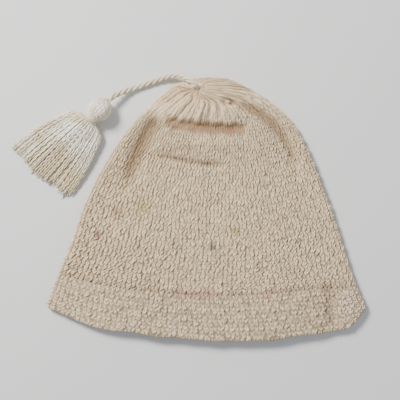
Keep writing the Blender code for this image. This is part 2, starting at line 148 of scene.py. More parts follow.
# Soft swellings and hollows of the front: place in pixels of the photograph, half sizes in pixels,
# the way the long side is turned, and the height in millimetres
Swell = namedtuple("Swell", "x y long short turn height")
SWELLS = (
    Swell(184, 104, 17, 10, -25, 1.5),  # left lobe of the gathers
    Swell(207, 108, 12, 11, 0, 1.0),
    Swell(236, 114, 12, 5, 8, 1.5),  # small lobe under the right crease
    Swell(228.5, 102.8, 6.0, 3.6, 6, -5.4),  # pit, with a bead of knit in it
    Swell(228.3, 103.0, 2.6, 1.6, 6, 5.2),
    Swell(234.5, 108.8, 3.2, 1.5, 15, 1.4),
    Swell(164, 112, 6, 5, 0, 1.1),
    Swell(171, 127.5, 4.2, 3, 15, 1.7),  # puffs below the groove
    Swell(186.7, 130.5, 3.4, 2.3, 0, 1.3),
    Swell(179, 132.5, 3, 2, 0, 0.8),
    Swell(245, 131, 5, 3, 0, 1.2),
    Swell(262, 97, 22, 7, 35, 1.2),  # rim outside the right crease
    Swell(300, 150, 26, 7, 65, 1.0),
    Swell(121, 156, 30, 6, -62, 1.0),  # rim outside the left crease
    Swell(200, 145, 40, 7, 0, 0.9),  # roll between the two wrinkles
    Swell(222, 88, 16, 5, 12, 1.0),
    Swell(352, 303, 11, 13, 0, 3.2),  # right corner of the border
)

# Place and radius in pixels of the photograph, width over height, tint, and its share. Mostly
# stains; some also paint shade in the creases and the gathers, and the last paints a highlight
STAINS_AND_PAINTED_LIGHT = (
    # Brown in the groove under the gathers: stain and painted shade
    (208, 127, 7, 4.0, (0.42, 0.25, 0.12), 0.50),
    (230, 130, 5, 2.2, (0.42, 0.21, 0.09), 0.60),
    (168, 119, 7, 1.2, (0.46, 0.29, 0.16), 0.50),
    # Below the groove: darker at the left, lighter and yellower in the middle
    (180, 150, 14, 2.4, (0.68, 0.46, 0.26), 0.20),
    (205, 141, 8, 5.0, (1.00, 0.83, 0.54), 0.36),
    # Painted shade between the gathers' lobes
    (190, 106, 20, 1.4, (0.60, 0.47, 0.33), 0.34),
    # Along the second wrinkle: stain and painted shade
    (208, 164, 4, 1.8, (0.40, 0.26, 0.15), 0.60),
    (180, 157, 4, 2.6, (0.50, 0.33, 0.20), 0.45),
    (240, 158, 3, 3.0, (0.42, 0.32, 0.22), 0.48),
    # Stains and spots
    (221, 91, 5, 1.4, (0.62, 0.40, 0.22), 0.45),
    (212, 247, 5, 1.1, (0.15, 0.12, 0.09), 0.80),
    (98, 234, 6, 1.2, (0.38, 0.19, 0.14), 0.85),
    (118, 212, 8, 1.3, (0.50, 0.31, 0.17), 0.75),
    (143, 206, 15, 1.1, (0.60, 0.50, 0.20), 0.62),
    (236, 231, 8, 1.1, (0.57, 0.49, 0.20), 0.60),
    (174, 243, 4, 1.1, (0.28, 0.21, 0.15), 0.55),
    (258, 265, 4, 1.0, (0.30, 0.23, 0.16), 0.50),
    (316, 255, 4, 1.2, (0.32, 0.25, 0.18), 0.45),
    (194, 294, 9, 3.6, (0.68, 0.34, 0.25), 0.62),
    (266, 294, 7, 1.2, (0.66, 0.33, 0.24), 0.58),
    # Painted highlight on the lifted right corner of the border
    (350, 303, 24, 0.70, (1.00, 0.84, 0.64), 0.62),
)

# The cord's middle, from the gathers to the tassel, in millimetres
CORD_ROUTE = (
    (-8.6, 105.6, 20.2), (-11.9, 108.9, 19.5), (-15.8, 112.0, 17.1), (-20.2, 114.6, 13.4),
    (-24.8, 116.2, 9.8), (-29.4, 116.6, 7.1), (-34.2, 115.9, 5.0), (-39.2, 114.4, 3.6),
    (-44.4, 112.6, 2.9), (-49.8, 110.7, 2.7), (-55.2, 108.8, 2.7), (-60.6, 107.0, 2.8),
    (-66.0, 105.2, 3.5), (-71.2, 103.0, 5.0), (-75.8, 101.0, 6.9), (-79.6, 99.1, 8.6),
    (-82.5, 97.1, 9.6), (-85.0, 94.7, 10.0),
)

# The layers of strands: height in the skirt, from 0 to 1, and number of strands
LAYERS = ((0.0, 30), (0.40, 39), (0.78, 44), (1.0, 31))
# Where the strands end, from one side of the fan to the other, in SKIRT_LENGTHs
TIPS = (
    (-1, 0.97), (-0.4, 0.975), (-0.1, 1.01), (0.2, 0.985), (0.45, 0.92), (0.75, 0.945), (1, 0.87),
)

SkirtSection = namedtuple("SkirtSection", "way half_width top_z")
SKIRT_SECTIONS = (
    SkirtSection(0.00, 0.13, 0.90),
    SkirtSection(0.04, 0.22, 1.00),
    SkirtSection(0.10, 0.27, 1.02),
    SkirtSection(0.20, 0.31, 1.00),
    SkirtSection(0.36, 0.37, 0.92),
    SkirtSection(0.56, 0.43, 0.82),
    SkirtSection(0.80, 0.48, 0.70),
    SkirtSection(1.00, 0.50, 0.62),
)

dice = np.random.RandomState(7)
STITCH_ROWS = FIELD_COURSES + BAND_COURSES + 8  # with some for the closing gathers
STITCH_JITTER = dice.normal(0, 1, (4, STITCH_ROWS, WALES))
GAP_DEPTH = dice.uniform(0, 1, (STITCH_ROWS, WALES))


# ---- the shape of the cap ----


def smooth_read(knots, values, at):
    """A smooth curve through values at knots, read at an array of places."""
    knots, values = np.asarray(knots, float), np.asarray(values, float)
    at = np.clip(at, knots[0], knots[-1])
    last = len(knots) - 1
    low, high = np.maximum(np.arange(last + 1) - 1, 0), np.minimum(np.arange(last + 1) + 1, last)
    slope = (values[high] - values[low]) / (knots[high] - knots[low])
    i = np.clip(np.searchsorted(knots, at, side="right") - 1, 0, last - 1)
    span = knots[i + 1] - knots[i]
    s = (at - knots[i]) / span
    return (
        (2 * s**3 - 3 * s**2 + 1) * values[i]
        + (s**3 - 2 * s**2 + s) * span * slope[i]
        + (3 * s**2 - 2 * s**3) * values[i + 1]
        + (s**3 - s**2) * span * slope[i + 1]
    )


def read_curve(curve, at):
    return smooth_read(*zip(*curve), at)


def read_table(table, at):
    knots = [row[0] for row in table]
    return type(table[0])(*(smooth_read(knots, column, at) for column in zip(*table)))


def smoothstep(x):
    x = np.clip(x, 0.0, 1.0)
    return x * x * (3 - 2 * x)


def quarter_round(x):
    x = np.clip(x, 0.0, 1.0)
    return np.sqrt(1 - (1 - x) ** 2)


def closing_share(way):
    """How far the gathers have closed, 0 up to way 1 and 1 in their middle."""
    return np.clip((way - 1.0) / CLOSE_WAY, 0, 1)


def facing_up(points):
    """1 on the cap's upper face, fading to 0 down its folds."""
    return smoothstep((points[..., 2] / LOFT - 0.45) / 0.35)


def row_sag(across, way, roundness):
    """How far a row has dropped below its ends."""
    hem = read_curve(HEM_CURVE, across)
    row = 1 - np.abs(across) ** 2.2
    flat = row + (hem - row) * (1 - smoothstep(way / BAND_TOP))
    return flat + (np.sqrt(np.maximum(0.0, 1 - across**2)) - flat) * roundness


def crease_depth(x, y, lobes=0.0):
    """How deep the creases are, and how much stain and painted shade they carry. The gathers' lobes
    hang into the first one.
    """
    total, stain_and_shade = np.zeros_like(x), np.zeros_like(x)
    for number, crease in enumerate(CREASES):
        start = Vector((crease.start_x * CAP_WIDTH, (crease.start_y - 0.5) * CAP_LENGTH))
        end = Vector((crease.end_x * CAP_WIDTH, (crease.end_y - 0.5) * CAP_LENGTH))
        along = end - start
        side = Vector((-along.y, along.x)) / along.length
        share = ((x - start.x) * along.x + (y - start.y) * along.y) / along.length_squared
        inside = np.clip(share, 0, 1)
        bow = crease.bow * along.length * 4 * inside * (1 - inside)
        off = (x - start.x) * side.x + (y - start.y) * side.y - bow
        if number == 0:
            off = off + LOBE_HANG * lobes
        ends = 4 if crease.square == 2 else 9  # the soft ones fade out over a longer way
        fade = smoothstep(ends * inside) * smoothstep(ends * (1 - inside))
        reach = crease.reach * CAP_WIDTH
        profile = fade * np.exp(-(np.abs(off / reach) ** crease.square))
        total += crease.depth * LOFT * profile
        soft = fade * np.exp(-((off / reach / 1.1) ** 2))
        stain_and_shade += crease.tint * soft * (1 - 0.4 * inside * (number > 0))
    return total, stain_and_shade


def swell_height(x, y):
    total = np.zeros_like(x)
    for swell in SWELLS:
        dx = x / PIXEL + PHOTO_X - swell.x
        dy = y / PIXEL - (PHOTO_Y - swell.y)
        turn = math.radians(-swell.turn)
        a = dx * math.cos(turn) + dy * math.sin(turn)
        b = dy * math.cos(turn) - dx * math.sin(turn)
        total += swell.height * MM * np.exp(-((a / swell.long) ** 2 + (b / swell.short) ** 2))
    # Slow unevenness of a soft cloth
    total += 0.35 * MM * np.sin(x / 0.031 + 1.3) * np.sin(y / 0.027 + 0.4)
    total += 0.22 * MM * np.sin(x / 0.013 + y / 0.017 + 2.1) * np.sin(y / 0.011 - x / 0.021)
    return total


def smooth_cap(turn, way):
    """Points of the smooth cap. Past way 1 the gathers close to a sunken middle."""
    s = read_table(SECTIONS, way)
    front = turn <= 0.5
    across = np.where(front, 4 * turn - 1, 3 - 4 * turn)
    shifted = across + (np.sin(across * np.pi / 2) - across) * np.maximum(s.roundness, 0.75)
    middle = (s.left_x + s.right_x) / 2 * CAP_WIDTH
    half = (s.right_x - s.left_x) / 2 * CAP_WIDTH
    ends_y = (s.left_y + (s.right_y - s.left_y) * (shifted + 1) / 2) * CAP_LENGTH
    row_y = np.where(front, s.front_y, s.back_y) * CAP_LENGTH
    y = ends_y + (row_y - ends_y) * row_sag(shifted, way, s.roundness)
    from_edge = (1 - np.abs(shifted)) * half
    round_over = quarter_round(from_edge / np.minimum(FOLD_REACH, half))
    dome = np.cos(across * np.pi / 2)
    rise_front = 0.42 * round_over + 0.58 * smoothstep(from_edge / (0.55 * half))
    rise_front = rise_front + (dome - rise_front) * s.roundness
    rise_back = round_over + (dome - round_over) * smoothstep((s.roundness - 0.6) / 0.4)
    z = s.edge_z + np.where(
        front, (s.front_z - s.edge_z) * rise_front, (s.back_z - s.edge_z) * rise_back
    )
    points = np.stack([middle + half * shifted, y - CAP_LENGTH / 2, z * LOFT], -1)
    closing = closing_share(way)[..., None] + np.zeros_like(points)
    navel = np.array([-0.022 * CAP_WIDTH, 0.457 * CAP_LENGTH, 1.18 * LOFT])
    points = points + (navel - points) * closing
    points[..., 2] -= 0.5 * MM * closing[..., 0] ** 2
    return points


def strayed(turn, way):
    """The way of each point, where the rows rise and fall with the border's upper edge."""
    stray = np.where(turn <= 0.5, read_curve(SEAM, 4 * turn - 1), 0.0) * PIXEL / FRONT_RISE
    near = np.where(way < BAND_TOP, way / BAND_TOP, 1 - smoothstep((way - BAND_TOP) / 0.22))
    return way + stray * near


def turns_of_wales(ways, wales):
    """The turn round each row at which each wale stands, with all wales of a face equally wide."""
    k = np.linspace(0, 1, 481)
    across = -np.cos(np.pi * k)
    front, back = (across + 1) / 4, 0.5 + (across + 1) / 4
    result = np.zeros((len(ways), len(wales)))
    faces = []
    for fine in (front, back):
        points = smooth_cap(fine[None, :], ways[:, None])
        steps = np.linalg.norm(np.diff(points, axis=1), axis=2)
        run = np.concatenate([np.zeros((len(ways), 1)), np.cumsum(steps, axis=1)], axis=1)
        faces.append((fine, run / run[:, -1:], run[:, -1]))
    share = np.asarray(wales) / (WALES / 2)
    on_front = share <= 1
    for row in range(len(ways)):
        for chosen, lead, (fine, run, _) in ((on_front, 0, faces[0]), (~on_front, 1, faces[1])):
            if chosen.any():
                result[row, chosen] = np.interp(share[chosen] - lead, run[row], fine)
    width = (faces[0][2] + faces[1][2]) / WALES
    return result, width


def cloth_normal(turn, way):
    """The way the smooth cap faces, the same for every piece that meets there."""
    step = 0.002
    around = smooth_cap((turn + step) % 1.0, way) - smooth_cap((turn - step) % 1.0, way)
    above = smooth_cap(turn, way + step) - smooth_cap(turn, np.maximum(way - step, 0.0))
    normal = np.cross(around, above)
    size = np.linalg.norm(normal, axis=2, keepdims=True)
    up = np.zeros_like(normal)
    up[..., 2] = 1.0
    normal = np.where(size > 1e-10, normal / np.maximum(size, 1e-10), up)
    blend = smoothstep((way - 0.985) / 0.02)[..., None]
    normal = normal * (1 - blend) + up * blend
    return normal / np.linalg.norm(normal, axis=2, keepdims=True)


def grid_normals(points):
    """Unit normals of a grid of points, from its neighbours."""
    across = np.gradient(points, axis=1)
    up = np.gradient(points, axis=0)
    normal = np.cross(across, up)
    return normal / np.maximum(np.linalg.norm(normal, axis=2, keepdims=True), 1e-12)


def pleat_height(turn, way):
    """Rounded gathers with sharp valleys, uneven as drawn-in cloth is, and how far each swells."""
    drift = 0.004 * np.sin(2 * np.pi * 3 * turn + 1.0) + 0.003 * np.sin(2 * np.pi * 7 * turn)
    coarse = np.abs(np.cos(np.pi * PLEATS * (turn + drift))) ** 0.7
    fine = np.abs(np.cos(np.pi * 41 * (turn - 1.4 * drift) + 1.0)) ** 0.8
    ridge = 0.55 * coarse + 0.45 * fine
    end = 0.861 + 0.012 * np.sin(2 * np.pi * 4 * turn + 0.5) + 0.012 * (1 - ridge)
    swell = smoothstep((way - end) / 0.050)
    fade = 0.4 + 0.6 * smoothstep((1.0 - way) / 0.05)
    uneven = 1 + 0.25 * np.sin(2 * np.pi * 5 * turn + 0.7) + 0.2 * np.sin(2 * np.pi * 11 * turn)
    closing = 1 - 0.7 * closing_share(way)
    # They are worn flat on the right and behind
    fade = fade * (1 - 0.55 * smoothstep((turn - 0.31) / 0.06) * smoothstep((1 - turn) / 0.05))
    return 3.9 * MM * swell * fade * closing * (ridge * uneven - 0.45), ridge, swell * fade


def formed_cap(turn, way):
    """The cap with its creases, swellings and gathers. Also its normals, its creases' stain and
    painted shade with its pits' painted shade, and the painted shade of the gathers' valleys.
    """
    points = smooth_cap(turn, way)
    normal = cloth_normal(turn, way)
    facing = facing_up(points)
    side = np.maximum(facing, smoothstep(normal[..., 2] + 0.6))
    side = side * (0.35 + 0.65 * smoothstep(normal[..., 2] * 2))
    # The folds are a little scalloped, most of all the right one
    y = points[..., 1]
    on_fold = smoothstep(1 - np.abs(normal[..., 2]) * 1.6)
    scallop = np.sin(y / 0.0015 + 1.5 * np.sin(y / 0.013)) * on_fold
    scallop = scallop * smoothstep((way - 0.16) / 0.04) * smoothstep((0.97 - way) / 0.04)
    points[..., 0] += 0.8 * MM * scallop * np.where(points[..., 0] > 0, 1, -0.4)
    pleats, ridge, swell = pleat_height(turn, way)
    points = points + normal * (pleats * side)[..., None]
    crease, stain_and_shade = crease_depth(points[..., 0], points[..., 1], ridge - 0.5)
    puff = swell_height(points[..., 0], points[..., 1])
    points[..., 2] += (puff - crease) * facing
    # Painted shade in the pits, from how deep they sink
    pit = np.maximum(-puff - 0.6 * MM, 0.0) / (5 * MM)
    # Painted shade in the gathers' valleys, for the colour only
    valley_shade = side * swell**2 * smoothstep((0.5 - ridge) / 0.5)
    return points, normal, (stain_and_shade + pit) * facing, valley_shade


# ---- the stitches ----


def stitch_relief(wale, course, stitch):
    """Height of a knitted face, 0 between the wales and about 1 on top of a stitch's two legs."""
    lean, leg_long, leg_wide, rough = stitch
    column, row = np.floor(wale).astype(int), np.floor(course).astype(int)
    height = np.zeros_like(wale)
    for up in (-1, 0, 1):
        for side in (-1, 1):
            for aside in (0, side):
                c, r = column - aside, row + up
                jitter = STITCH_JITTER[:, r % STITCH_ROWS, c % WALES]
                dx = (wale - c - 0.5 - side * LEG_OFFSET - 0.05 * rough * jitter[0]) * WALE
                dy = (course - r - 0.5 - 0.09 * rough * jitter[1]) * COURSE
                angle = side * lean + 0.10 * rough * jitter[2]
                along = dy * np.cos(angle) + dx * np.sin(angle)
                off = dx * np.cos(angle) - dy * np.sin(angle)
                left = 1 - (along / leg_long) ** 2 - (off / leg_wide) ** 2
                top = (1 + 0.14 * rough * jitter[3]) * np.maximum(left, 0.0) ** 0.75
                height = np.maximum(height, top)
    return height


def uneven_gaps(relief, wale, course, least):
    """Some gaps between the wales lie open and others are closed by the yarn beside them."""
    column = np.rint(wale).astype(int) % WALES
    at = course * 0.8 + 0.37 * column
    row = np.floor(at).astype(int)
    share = smoothstep(at - row)
    low, high = GAP_DEPTH[row % STITCH_ROWS, column], GAP_DEPTH[(row + 1) % STITCH_ROWS, column]
    open_share = low + (high - low) * share
    side = np.abs(wale - np.rint(wale)) * 2
    depth = least + (1 - least) * open_share
    return 1 - (1 - relief) * (depth + (1 - depth) * side**2)


def decreases(way):
    """How far two wales have become one towards the crown, and then four."""
    return smoothstep((way - 0.84) / 0.04), smoothstep((way - 0.93) / 0.03)


def field_relief(wale, course, way, least, calm):
    """The stitches of the field, decreased and calmer towards the crown."""
    relief = uneven_gaps(stitch_relief(wale, course, FIELD_STITCH), wale, course, least)
    fewer, fewest = decreases(way)
    if fewer.any():
        half = stitch_relief(wale / 2, course, FIELD_STITCH)
        half = uneven_gaps(half, wale / 2, course, 0.6)
        relief = relief + (half - relief) * fewer
    if fewest.any():
        quarter = stitch_relief(wale / 4, course, FIELD_STITCH)
        relief = relief + (quarter - relief) * fewest
    return relief + (0.84 - relief) * calm * smoothstep((way - 0.852) / 0.025)


def wale_drift(points, wale):
    """The zigzag of the wales in a worn, uneven knit, in wales. It is nothing at the folds."""
    x, y = points[..., 0], points[..., 1]
    wander = 0.9 * np.sin(x / 0.019 + 1.0) + 0.8 * np.sin(y / 0.023 + 2.0)
    drift = (
        0.12 * np.sin(2 * np.pi * (y / 0.0078 + x / 0.018) + wander)
        + 0.12 * np.sin(2 * np.pi * (y / 0.0093 - x / 0.013) + 1.7 * wander + 1)
        + 0.11 * np.sin(2 * np.pi * (y / 0.0061 + x / 0.041) - wander + 2)
        + 0.25 * np.sin(y / 0.013 + wander)
    )
    half = WALES / 2
    from_fold = np.abs((wale + half / 2) % half - half / 2)
    return drift * smoothstep(from_fold / 3)


# ---- making pieces ----


def sheet_object(name, points, values, material, normals=None, weld=False):
    """A mesh grid bent to points, with values to read in its material.

    Given normals, no seam shows beside the next piece. Welding closes a ring or a pole.
    """
    rows, columns = points.shape[:2]
    grid = bmesh.new()
    bmesh.ops.create_grid(grid, x_segments=columns - 1, y_segments=rows - 1, size=0.5)
    data = bpy.data.meshes.new(name)
    grid.to_mesh(data)
    grid.free()
    flat = np.zeros(len(data.vertices) * 3, np.float32)
    data.vertices.foreach_get("co", flat)
    flat = flat.reshape(-1, 3)
    column = np.rint((flat[:, 0] + 0.5) * (columns - 1)).astype(int)
    row = np.rint((flat[:, 1] + 0.5) * (rows - 1)).astype(int)
    data.vertices.foreach_set("co", points[row, column].astype(np.float32).ravel())
    for key, value in values.items():
        layer = data.attributes.new(key, "FLOAT", "POINT")
        layer.data.foreach_set("value", value[row, column].astype(np.float32))
    place = data.attributes.new("place", "INT", "POINT")
    place.data.foreach_set("value", (row * columns + column).astype(np.int32))
    data.update()
    if weld:
        grid = bmesh.new()
        grid.from_mesh(data)
        bmesh.ops.remove_doubles(grid, verts=grid.verts, dist=0.00002)
        grid.to_mesh(data)
        grid.free()
    piece = show(name, data, material)
    if normals is not None:
        order = np.zeros(len(data.vertices), np.int32)
        data.attributes["place"].data.foreach_get("value", order)
        data.normals_split_custom_set_from_vertices(normals.reshape(-1, 3)[order])
    data.attributes.remove(data.attributes["place"])
    return piece


def show(name, data, material):
    data.materials.clear()
    data.materials.append(material)
    data.shade_smooth()
    obj = bpy.data.objects.new(name, data)
    bpy.context.scene.collection.objects.link(obj)
    return obj


def tubes(name, lines, radii, resolution, material, shades=None):
    """One mesh of round tubes along many lines, their ends closed, each with its own shade."""
    curve = bpy.data.curves.new(name, "CURVE")
    curve.dimensions = "3D"
    curve.bevel_depth = 1.0
    curve.bevel_resolution = resolution
    curve.use_fill_caps = True
    for line, radius in zip(lines, radii):
        spline = curve.splines.new("POLY")
        spline.points.add(len(line) - 1)
        packed = np.concatenate([line, np.ones((len(line), 1))], axis=1)
        spline.points.foreach_set("co", packed.ravel())
        spline.points.foreach_set("radius", np.broadcast_to(radius, len(line)).astype(float))
    guide = bpy.data.objects.new(name + "_line", curve)
    bpy.context.scene.collection.objects.link(guide)
    graph = bpy.context.evaluated_depsgraph_get()
    data = bpy.data.meshes.new_from_object(guide.evaluated_get(graph))
    bpy.data.objects.remove(guide)
    bpy.data.curves.remove(curve)
    data.name = name
    if shades is not None:
        # The mesh has the tubes' ends first, from the last tube's to the first's
        ends = [part for shade in reversed(shades) for part in (shade[-1:], shade[:1])]
        value = np.concatenate(ends + list(shades))
        layer = data.attributes.new("shade", "FLOAT", "POINT")
        around = len(data.vertices) // len(value)
        layer.data.foreach_set("value", np.repeat(value, around).astype(np.float32))
    mesh = bmesh.new()
    mesh.from_mesh(data)
    bmesh.ops.remove_doubles(mesh, verts=mesh.verts, dist=0.000001)
    bmesh.ops.recalc_face_normals(mesh, faces=mesh.faces)
    mesh.to_mesh(data)
    mesh.free()
    return show(name, data, material)


# ---- finishes ----


class Finish:
    """A node material that is built up step by step."""

    def __init__(self, name, roughness, sheen):
        self.material = bpy.data.materials.new(name)
        self.material.use_nodes = True
        self.nodes = self.material.node_tree.nodes
        self.links = self.material.node_tree.links
        self.shader = self.nodes["Principled BSDF"]
        self.shader.inputs["Roughness"].default_value = roughness
        self.shader.inputs["Sheen Weight"].default_value = sheen
        self.shader.inputs["Sheen Roughness"].default_value = 0.5
        self.shader.inputs["Specular IOR Level"].default_value = 0.2
        self.place = self.nodes.new("ShaderNodeTexCoord").outputs["Object"]

    def node(self, kind, inputs=(), **settings):
        node = self.nodes.new(kind)
        for key, value in settings.items():
            setattr(node, key, value)
        for key, value in dict(inputs).items():
            if isinstance(value, bpy.types.NodeSocket):
                self.links.new(value, node.inputs[key])
            else:
                node.inputs[key].default_value = value
        return node

    def noise(self, scale, detail, stretch=(1, 1, 1)):
        spread = self.node("ShaderNodeMapping", {"Vector": self.place, "Scale": stretch})
        found = self.node(
            "ShaderNodeTexNoise",
            {"Vector": spread.outputs[0], "Scale": scale, "Detail": detail},
        )
        return found.outputs["Fac"]

    def ramp(self, value, low, high, to_low=0.0, to_high=1.0):
        return self.node(
            "ShaderNodeMapRange",
            {
                "Value": value,
                "From Min": low,
                "From Max": high,
                "To Min": to_low,
                "To Max": to_high,
            },
            interpolation_type="SMOOTHSTEP",
        ).outputs[0]

    def math(self, operation, a, b=0.0):
        return self.node("ShaderNodeMath", {0: a, 1: b}, operation=operation).outputs[0]

    def attribute(self, name):
        return self.node("ShaderNodeAttribute", attribute_name=name).outputs["Fac"]

    def mix(self, share, a, b):
        node = self.node("ShaderNodeMix", data_type="RGBA")
        for socket, value in ((node.inputs[0], share), (node.inputs[6], a), (node.inputs[7], b)):
            if isinstance(value, bpy.types.NodeSocket):
                self.links.new(value, socket)
            elif isinstance(value, (int, float)):
                socket.default_value = value
            else:
                socket.default_value = (*value, 1.0)
        return node.outputs[2]

    def spot(self, x, y, radius, stretch):
        """A soft round patch at a pixel of the photograph, 1 in its middle."""
        centre = ((x - PHOTO_X) * PIXEL, (PHOTO_Y - y) * PIXEL, 0.0)
        kind = "ShaderNodeVectorMath"
        scale = (1 / stretch, 1.0, 0.0)
        moved = self.node(kind, {0: self.place, 1: centre}, operation="SUBTRACT")
        flat = self.node(kind, {0: moved.outputs[0], 1: scale}, operation="MULTIPLY")
        far = self.node(kind, {0: flat.outputs[0]}, operation="LENGTH")
        rough = self.math("MULTIPLY", self.noise(180, 2.0), radius * PIXEL * 0.9)
        reach = self.math("ADD", far.outputs["Value"], rough)
        return self.ramp(reach, radius * PIXEL * 1.5, radius * PIXEL * 0.5)

    def finish(self, colour, bump_from, bump_height):
        self.links.new(colour, self.shader.inputs["Base Color"])
        bump = self.node(
            "ShaderNodeBump", {"Height": bump_from, "Strength": 1.0, "Distance": bump_height}
        )
        self.links.new(bump.outputs[0], self.shader.inputs["Normal"])
        return self.material


def knit_finish(name, light, stained_and_shaded):
    cloth = Finish(name, 0.95, 0.04)
    relief = cloth.attribute("relief")
    broad = cloth.ramp(cloth.noise(22, 4.0), 0.35, 0.68, 0.0, 0.5)
    colour = cloth.mix(broad, light, tuple(part * 0.90 for part in light))
    patchy = cloth.ramp(cloth.noise(95, 3.0), 0.42, 0.66, 0.0, 0.30)
    colour = cloth.mix(patchy, colour, (0.62, 0.46, 0.34))
    # Painted highlight on the tops of the stitches
    painted_crest_highlight = cloth.ramp(relief, 0.62, 1.0, 0.0, 0.62)
    colour = cloth.mix(painted_crest_highlight, colour, (0.97, 0.84, 0.62))
    if stained_and_shaded:
        # Stain and painted shade in the creases, and painted shade in the pits
        fold_stain_and_shade = cloth.ramp(cloth.attribute("fold_stain_and_shade"), 0.06, 0.85, 0.0, 0.92)
        colour = cloth.mix(fold_stain_and_shade, colour, (0.39, 0.26, 0.15))
        # Stains, with painted shade and one painted highlight among them
        for x, y, radius, stretch, tint, share in STAINS_AND_PAINTED_LIGHT:
            patch = cloth.math("MULTIPLY", cloth.spot(x, y, radius, stretch), share)
            colour = cloth.mix(patch, colour, tint)
    # Painted shade in the gaps between the stitches, and wherever the relief value was lowered for
    # it above the border and in the gathers' valleys
    painted_gap_shade = cloth.ramp(relief, 0.95, 0.05, 0.0, 0.80)
    colour = cloth.mix(painted_gap_shade, colour, (0.21, 0.16, 0.11))
    fuzz = cloth.noise(2600, 4.0, (1, 0.45, 1))
    return cloth.finish(colour, fuzz, 0.35 * MM)


def yarn_finish(name, light, dark, roughness, shaded=False):
    yarn = Finish(name, roughness, 0.12)
    colour = yarn.mix(yarn.ramp(yarn.noise(60, 4.0), 0.35, 0.7), light, dark)
    if shaded:
        # Darker by each strand's shade value, which holds painted shade on the lower layers
        colour = yarn.mix(yarn.ramp(yarn.attribute("shade"), 0.15, 0.9, 0.0, 0.9), colour, dark)
    fibres = yarn.noise(1500, 4.0)
    colour = yarn.mix(yarn.ramp(fibres, 0.45, 0.75, 0.0, 0.35), colour, dark)
    return yarn.finish(colour, fibres, 0.3 * MM)


# ---- camera, light and floor ----


def set_the_scene():
    camera = bpy.data.cameras.new("camera")
    camera.lens = 90
    camera.sensor_width = 36
    view = bpy.data.objects.new("camera", camera)
    middle = PHOTO_SIZE / 2
    distance = PHOTO_SIZE * PIXEL * camera.lens / camera.sensor_width
    view.location = (
        (middle - PHOTO_X) * PIXEL, (PHOTO_Y - middle) * PIXEL, distance + SCALE_HEIGHT
    )
    bpy.context.scene.collection.objects.link(view)
    bpy.context.scene.camera = view

    sky = bpy.data.worlds.new("studio")
    sky.use_nodes = True
    backdrop = sky.node_tree.nodes["Background"]
    backdrop.inputs["Color"].default_value = (0.93, 0.96, 1.0, 1)
    backdrop.inputs["Strength"].default_value = 0.42
    bpy.context.scene.world = sky

    for name, place, energy, size, tint in (
        ("key_light", (-0.72, 0.72, 1.0), 36, 0.40, (1.0, 0.97, 0.92)),
        ("fill_light", (0.9, -0.5, 1.1), 4, 1.2, (0.95, 0.97, 1.0)),
    ):
        lamp = bpy.data.lights.new(name, "AREA")
        lamp.energy = energy
        lamp.size = size
        lamp.color = tint
        holder = bpy.data.objects.new(name, lamp)
        holder.location = place
        holder.rotation_euler = (-Vector(place)).to_track_quat("-Z", "Y").to_euler()
        bpy.context.scene.collection.objects.link(holder)

    table = bmesh.new()
    bmesh.ops.create_grid(table, x_segments=1, y_segments=1, size=1.6)
    data = bpy.data.meshes.new("floor")
    table.to_mesh(data)
    table.free()
    paper = bpy.data.materials.new("floor_paper")
    paper.use_nodes = True
    shader = paper.node_tree.nodes["Principled BSDF"]
    shader.inputs["Base Color"].default_value = (0.74, 0.75, 0.76, 1)
    shader.inputs["Roughness"].default_value = 0.9
    show("floor", data, paper)


# ---- the cord ----


def frames_along(line):
    """Two directions square to a line at each of its points, without twist."""
    way = np.gradient(line, axis=0)
    way /= np.linalg.norm(way, axis=1, keepdims=True)
    side = np.cross(way, [0.0, 0.0, 1.0])
    side /= np.linalg.norm(side, axis=1, keepdims=True)
    return side, np.cross(side, way)


def cord_line(count):
    knots = np.arange(len(CORD_ROUTE))
    at = np.linspace(0, len(CORD_ROUTE) - 1, count)
    return np.stack([smooth_read(knots, column, at) * MM for column in zip(*CORD_ROUTE)], 1)


def run_along(line):
    """How far along a line each of its points is."""
    return np.concatenate([[0], np.cumsum(np.linalg.norm(np.diff(line, axis=0), axis=1))])


def twisted(line, radius_out, plies, lay, wobble=0.0, phase=0.0):
    """The lines of the plies that wind round a line."""
    side, up = frames_along(line)
    run = run_along(line)
    made = []
    for ply in range(plies):
        angle = 2 * np.pi * (run / lay + ply / plies) + phase
        reach = radius_out * (1 + wobble * np.sin(run / lay * 2.3 + phase))
        offset = side * (np.cos(angle) * reach)[:, None] + up * (np.sin(angle) * reach)[:, None]
        made.append(line + offset)
    return made


def make_cord(finish):
    line = cord_line(220)
    radius = np.linspace(0.93, 1.0, len(line)) * CORD_PLY
    lines = twisted(line, radius * PLY_REACH, 3, CORD_LAY)
    first_end = 1 - 0.75 * smoothstep((7 - np.arange(len(line))) / 6)  # inside the root
    cord = tubes("cord_twist", lines, [radius * first_end] * 3, 4, finish)
    # Where the cord comes out of the gathers, its plies part and go in
    roots = []
    s = np.linspace(0, 1, 14)[:, None]
    ends = ((-5.4, 104.3, 12.0), (-5.6, 103.6, 11.8), (-6.3, 103.6, 12.0))  # in millimetres
    for ply_line, into in zip(lines, ends):
        first, into = ply_line[6], np.array(into) * MM
        bend = first * 0.3 + into * 0.7 + np.array([0.3, -0.2, 5.0]) * MM
        roots.append(first * (1 - s) ** 2 + 2 * bend * s * (1 - s) + into * s**2)
    thin = radius[0] * (1 - 0.5 * s[:, 0] ** 2)
    root = tubes("cord_root", roots, [thin] * 3, 4, finish)
    return cord, root, line, float(run_along(line)[-1])


# ---- the tassel ----


def tassel_frame():
    """The middle of the tassel's head, and the directions along the tassel and across it."""
    along = np.array([-math.cos(TASSEL_TURN), -math.sin(TASSEL_TURN), 0.0])
    middle = np.array(CORD_ROUTE[-1]) * MM + along * (HEAD_LENGTH / 2 + SEAT_GAP)
    middle[2] = HEAD_WIDTH / 2
    return middle, along, np.array([-along[1], along[0], 0.0])


